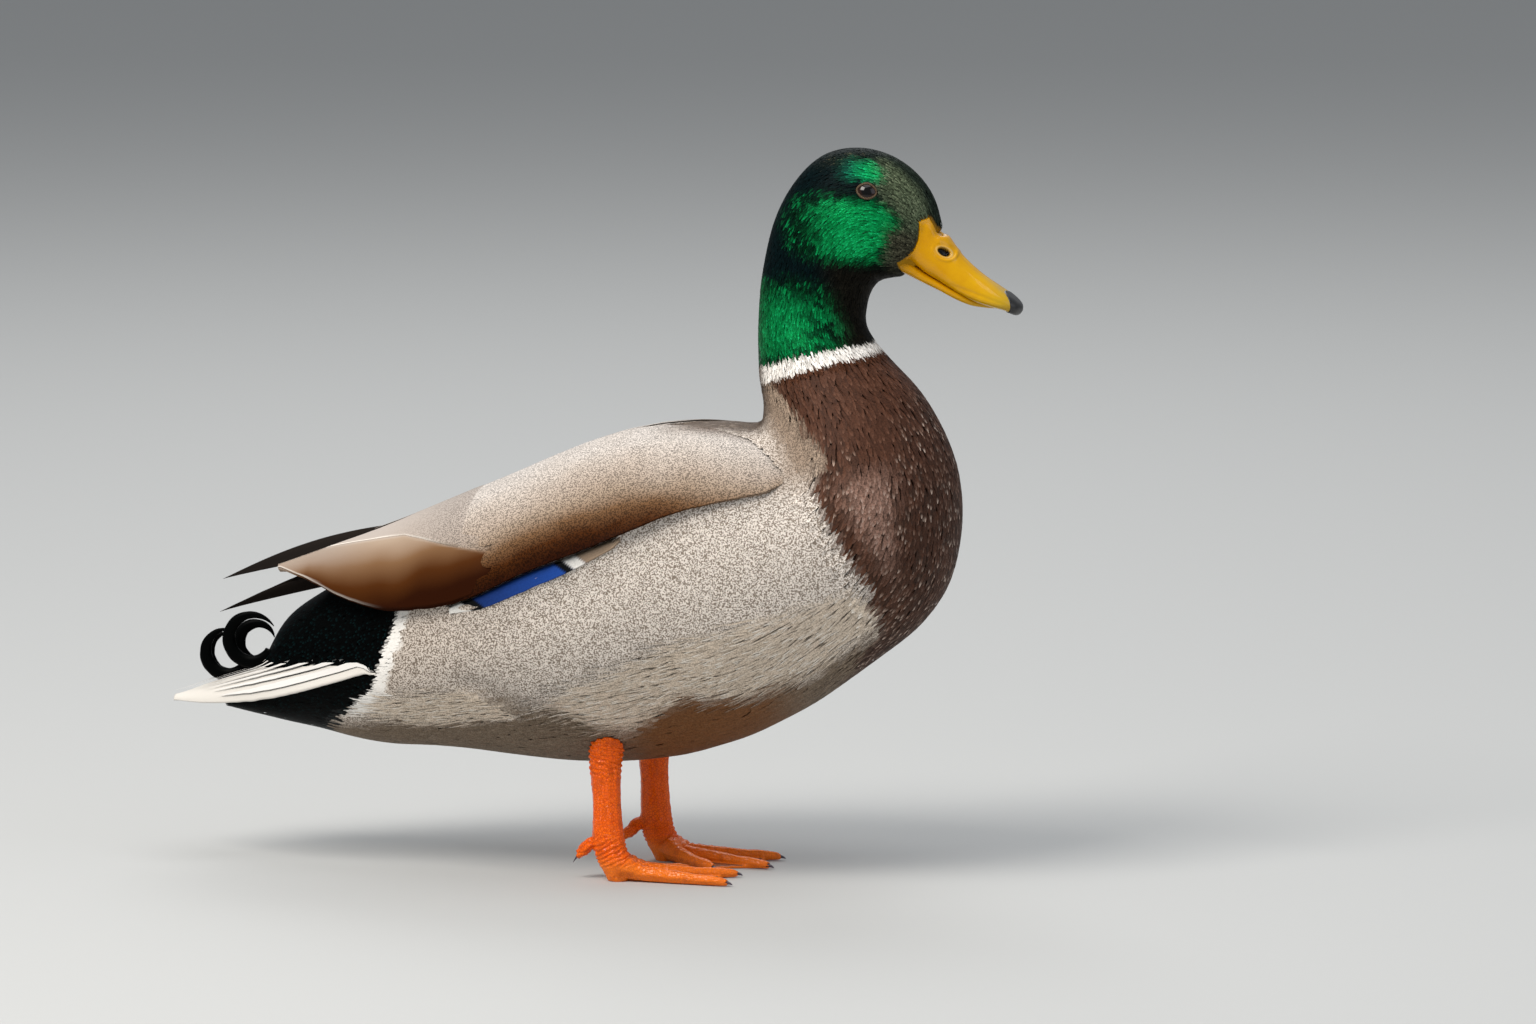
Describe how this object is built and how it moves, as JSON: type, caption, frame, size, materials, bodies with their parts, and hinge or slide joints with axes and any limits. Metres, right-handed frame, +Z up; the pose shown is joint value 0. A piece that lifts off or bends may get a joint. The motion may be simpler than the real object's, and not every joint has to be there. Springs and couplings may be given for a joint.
{
  "type": "mallard duck model",
  "caption": "Life-size standing mallard drake as a still model, with folded wings, curled tail coverts and webbed feet.",
  "frame": {"origin": "on the floor, under the middle of the model's bounding box", "axes": "+X to the bill, +Y to the duck's left, +Z up"},
  "size_m": [0.4104, 0.1438, 0.3475],
  "materials": {
    "body_feathers": "fine grey vermiculated feathers",
    "breast_feathers": "chestnut breast feathers",
    "head_feathers": "short iridescent green feathers",
    "wing_feathers": "smooth brown-grey scapulars and tertials",
    "speculum_feathers": "glossy blue secondaries",
    "primary_feathers": "dusky brown flight feathers",
    "tail_feathers": "white tail feathers with grey-brown streaks",
    "curl_feathers": "glossy black coverts",
    "bill_horn": "smooth yellow horn",
    "nail_horn": "smooth black horn",
    "eye": "wet dark brown",
    "leg_skin": "scaly orange skin",
    "claw_horn": "dark horn"
  },
  "bodies": {
    "root": {"trunk": "body_feathers", "neck": "breast_feathers", "head": "head_feathers", "bill_upper": "bill_horn", "bill_lower": "bill_horn", "bill_nail": "nail_horn", "tail": "tail_feathers", "eye_right": "eye", "wing_right": "wing_feathers", "secondaries_right": "speculum_feathers", "primaries_right": "primary_feathers", "curl_front_right": "curl_feathers", "curl_rear_right": "curl_feathers", "shank_right": "leg_skin", "foot_right": "leg_skin", "hallux_right": "leg_skin", "claw_hind_right": "claw_horn", "claw_inner_right": "claw_horn", "claw_middle_right": "claw_horn", "claw_outer_right": "claw_horn", "eye_left": "eye", "wing_left": "wing_feathers", "secondaries_left": "speculum_feathers", "primaries_left": "primary_feathers", "curl_front_left": "curl_feathers", "curl_rear_left": "curl_feathers", "shank_left": "leg_skin", "foot_left": "leg_skin", "hallux_left": "leg_skin", "claw_hind_left": "claw_horn", "claw_inner_left": "claw_horn", "claw_middle_left": "claw_horn", "claw_outer_left": "claw_horn"}
  },
  "joints": []
}
